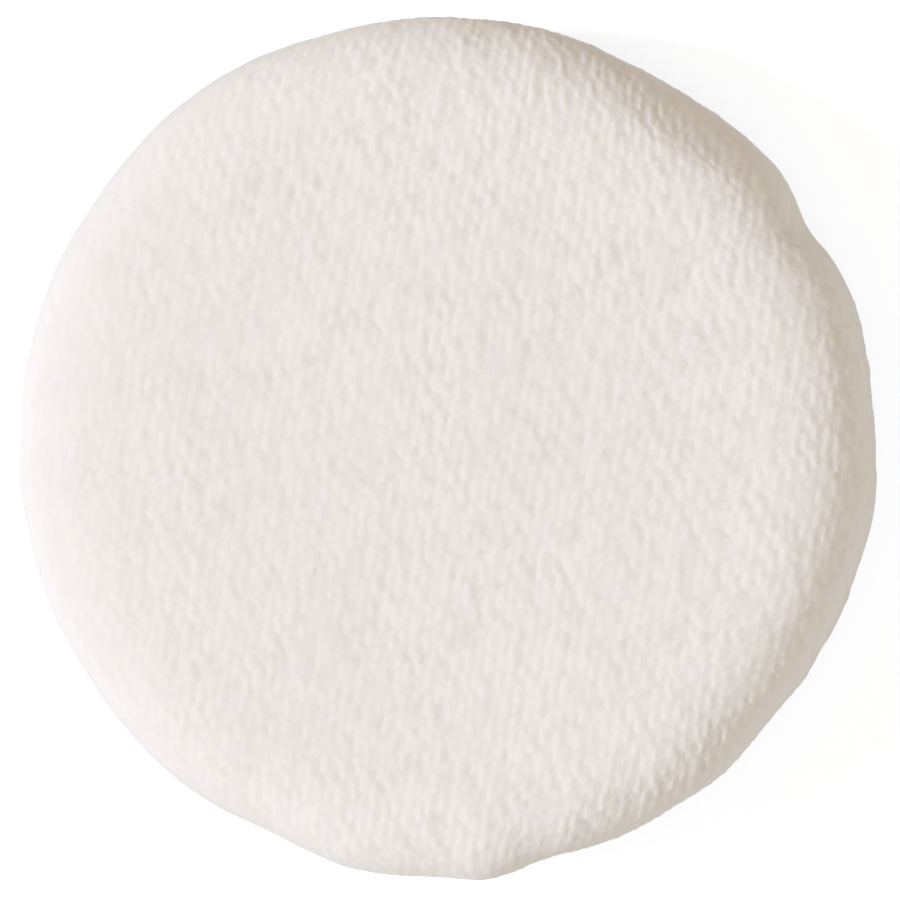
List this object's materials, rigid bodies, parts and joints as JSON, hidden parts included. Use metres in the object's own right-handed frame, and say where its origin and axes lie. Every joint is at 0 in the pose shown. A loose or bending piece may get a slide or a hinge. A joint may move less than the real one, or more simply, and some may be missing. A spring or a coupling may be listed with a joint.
{
  "type": "powder puff",
  "caption": "Flat round powder puff: velour covers sewn face to face and turned, drawn-in edge, soft foam pad inside, opening closed by hand.",
  "frame": {"origin": "middle of the flat underside that the puff rests on", "axes": "+Z out through the powder face, +X to the right and +Y to the top of the face as pictured"},
  "size_m": [0.06, 0.0603, 0.0139],
  "materials": {
    "velour": "soft cream knitted velour with a short, matt, slightly tufted pile",
    "foam": "fine open-cell foam, off-white and matt",
    "thread": "twisted sewing thread in the cover's cream"
  },
  "bodies": {
    "root": {"front_cover": "velour", "back_cover": "velour", "foam_pad": "foam", "needle_thread": "thread", "bobbin_thread": "thread", "closing_thread": "thread"}
  },
  "joints": []
}
